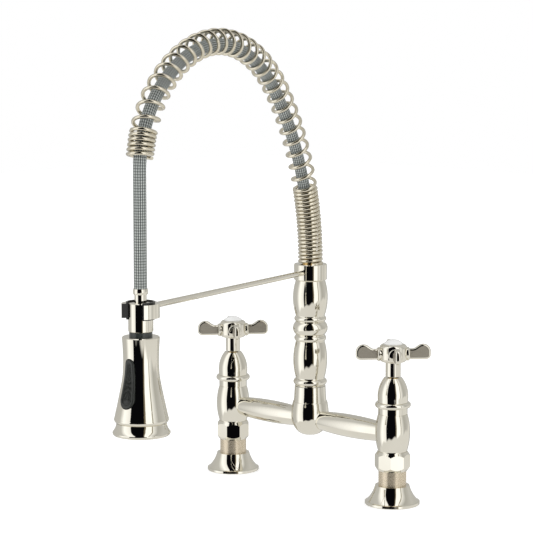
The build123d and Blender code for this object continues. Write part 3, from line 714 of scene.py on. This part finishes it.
def makeRocker():
    plan = rockerPad
    turn = Matrix.Rotation(plan["turn"], 4, "Z")
    headAt = spoutPoint(spoutPlan["reach"], 0.0)
    source = bmesh.new()
    source.from_mesh(cadNodes["rocker"].data)
    source.transform(cadNodes["rocker"].matrix_world)
    tree = BVHTree.FromBMesh(source)
    source.free()
    inward = turn @ Vector((0, 1, 0))
    shape = bmesh.new()
    fronts, backs = [], []
    half, margin = plan["length"] / 2, 0.00003
    for row in range(plan["rows"] + 1):
        height = plan["middle"] - (half - margin) * math.cos(math.pi * row / plan["rows"])
        width = max(0.0, padWidth(plan, height) - margin)
        front, back = [], []
        for column in range(plan["columns"] + 1):
            across = width * math.sin(math.pi * (column / plan["columns"] - 0.5))
            for nudge in range(12):  # past the outline's facets, the depth comes from just inside
                share = 1 - 0.004 * nudge
                probe = Vector((across * share, -0.05, plan["middle"] + (height - plan["middle"]) * share))
                depth = tree.ray_cast(headAt + turn @ probe, inward)[3]
                if depth is not None:
                    break
            hit = headAt + turn @ Vector((across, -0.05, height)) + inward * depth
            relief = padRelief(plan, padInset(plan, across, height), height)
            front.append(shape.verts.new(hit - inward * relief))
            back.append(shape.verts.new(hit + inward * plan["thickness"]))
        fronts.append(front)
        backs.append(back)
    for row in range(plan["rows"]):
        for column in range(plan["columns"]):
            front, nextFront = fronts[row], fronts[row + 1]
            back, nextBack = backs[row], backs[row + 1]
            shape.faces.new((front[column], front[column + 1], nextFront[column + 1], nextFront[column]))
            shape.faces.new((back[column], nextBack[column], nextBack[column + 1], back[column + 1]))
        for side in (0, -1):
            corners = (fronts[row][side], fronts[row + 1][side], backs[row + 1][side], backs[row][side])
            shape.faces.new(corners)
    for row in (0, -1):
        for column in range(plan["columns"]):
            front, back = fronts[row], backs[row]
            shape.faces.new((front[column], back[column], back[column + 1], front[column + 1]))
    bmesh.ops.remove_doubles(shape, verts=shape.verts, dist=2e-6)
    bmesh.ops.recalc_face_normals(shape, faces=shape.faces)
    mesh = bpy.data.meshes.new("rockerPad")
    shape.to_mesh(mesh)
    shape.free()
    for polygon in mesh.polygons:
        polygon.use_smooth = True
    mesh.set_sharp_from_angle(angle=math.radians(60))
    piece = solidPiece("rockerPad", mesh, (finishes["rocker"],))
    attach(piece, "rocker")
    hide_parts("rocker")
    print("rockerPad made,", len(piece.data.polygons), "faces")


makeRocker()


# ---- floor, light and camera ----

studio = {
    "floorSize": 6.0,
    "cameraPlace": (1.2945, -1.41635, 0.45407),
    "cameraBack": (0.68468, -0.71771, 0.12693),
    "lens": 140.1,
    "cardMiddle": math.radians(43.65),
    "white": 1.3,
}

floorMesh = bpy.data.meshes.new("floor")
half = studio["floorSize"] / 2
floorCorners = [(-half, -half, 0), (half, -half, 0), (half, half, 0), (-half, half, 0)]
floorMesh.from_pydata(floorCorners, [], [(0, 1, 2, 3)])
floor = bpy.data.objects.new("floor", floorMesh)
bpy.context.scene.collection.objects.link(floor)
floorFinish, floorTree, floorSurface, floorPlace = finish("paleFloor", 0.8)
floorSurface.inputs["Base Color"].default_value = (0.85, 0.85, 0.85, 1)
floorSurface.inputs["Emission Color"].default_value = (1, 1, 1, 1)
floorSurface.inputs["Emission Strength"].default_value = 0.42
floorMesh.materials.append(floorFinish)
floor.visible_glossy = False


def studioLight():
    world = bpy.data.worlds.new("studio")
    bpy.context.scene.world = world
    world.use_nodes = True
    tree = world.node_tree
    tree.nodes.clear()
    direction = addNode(tree, "ShaderNodeTexCoord").outputs["Generated"]
    split = addNode(tree, "ShaderNodeSeparateXYZ", {0: direction})
    x, y, z = split.outputs
    azimuth = calc(tree, "ARCTAN2", x, calc(tree, "MULTIPLY", y, -1.0))
    azimuth = calc(tree, "SUBTRACT", azimuth, studio["cardMiddle"])
    elevation = calc(tree, "ARCSINE", z)
    # the edges of the cards wander a little, as hung cloth does
    sway = addNode(tree, "ShaderNodeTexNoise", {"Vector": direction, "Scale": 1.3, "Detail": 0.0}).outputs["Fac"]
    sway = calc(tree, "MULTIPLY", calc(tree, "SUBTRACT", sway, 0.5), 0.5)
    hung = calc(tree, "MULTIPLY", sway, calc(tree, "ABSOLUTE", z))
    turnShare = calc(tree, "ADD", calc(tree, "DIVIDE", calc(tree, "ADD", azimuth, hung), 2 * math.pi), 1.5)
    turnShare = calc(tree, "FRACT", turnShare)
    white, pale = (studio["white"],) * 3, (1.04, 1.04, 1.03)
    dim, grey, black = (0.62, 0.615, 0.60), (0.50, 0.495, 0.475), (0.003, 0.003, 0.004)
    tan, line = (0.21, 0.18, 0.12), (0.30, 0.27, 0.19)

    def at(degrees):
        return (degrees + 180) / 360

    stops = [
        (0.0, grey),
        (at(-100), dim),
        (at(-78), white),
        (at(-48), pale),
        (at(-46), black),
        (at(16), black),
        (at(17), tan),
        (at(23), tan),
        (at(24.5), white),
        (at(51), white),
        (at(52), line),
        (at(55), line),
        (at(56.5), pale),
        (at(82), grey),
        (at(120), dim),
        (1.0, grey),
    ]
    aroundColour = rampNode(tree, turnShare, stops)
    dip = calc(tree, "ADD", calc(tree, "MULTIPLY", azimuth, 0.10), math.radians(-17))
    ripple = calc(tree, "SINE", calc(tree, "MULTIPLY", azimuth, 9.0))
    dip = calc(tree, "ADD", dip, calc(tree, "MULTIPLY", ripple, 0.03))
    below = calc(tree, "SUBTRACT", dip, elevation)
    low = rangeOf(tree, below, 0.0, 1.0, math.radians(-1.5), math.radians(2.5))
    lowColour = (0.80, 0.79, 0.765, 1)
    mixed = addNode(tree, "ShaderNodeMix", {0: low, 6: aroundColour, 7: lowColour}, data_type="RGBA")
    seen = addNode(tree, "ShaderNodeLightPath").outputs["Is Camera Ray"]
    # plain white for the background and for matt surfaces, the cards only for what shines
    seen = calc(tree, "MAXIMUM", seen, addNode(tree, "ShaderNodeLightPath").outputs["Is Diffuse Ray"])
    shown = addNode(tree, "ShaderNodeMix", {0: seen, 6: mixed.outputs[2], 7: (1, 1, 1, 1)}, data_type="RGBA")
    light = addNode(tree, "ShaderNodeBackground", {"Color": shown.outputs[2], "Strength": 1.0})
    end = addNode(tree, "ShaderNodeOutputWorld")
    tree.links.new(light.outputs[0], end.inputs["Surface"])


studioLight()

camera = bpy.data.objects.new("camera", bpy.data.cameras.new("camera"))
bpy.context.scene.collection.objects.link(camera)
camera.location = studio["cameraPlace"]
camera.rotation_mode = "QUATERNION"
camera.rotation_quaternion = (-Vector(studio["cameraBack"])).to_track_quat("-Z", "Y")
camera.data.lens = studio["lens"]
camera.data.sensor_width = 36
camera.data.clip_start = 0.01
camera.data.clip_end = 50
bpy.context.scene.camera = camera
bpy.context.scene.view_settings.view_transform = "Standard"

print("scene ready")
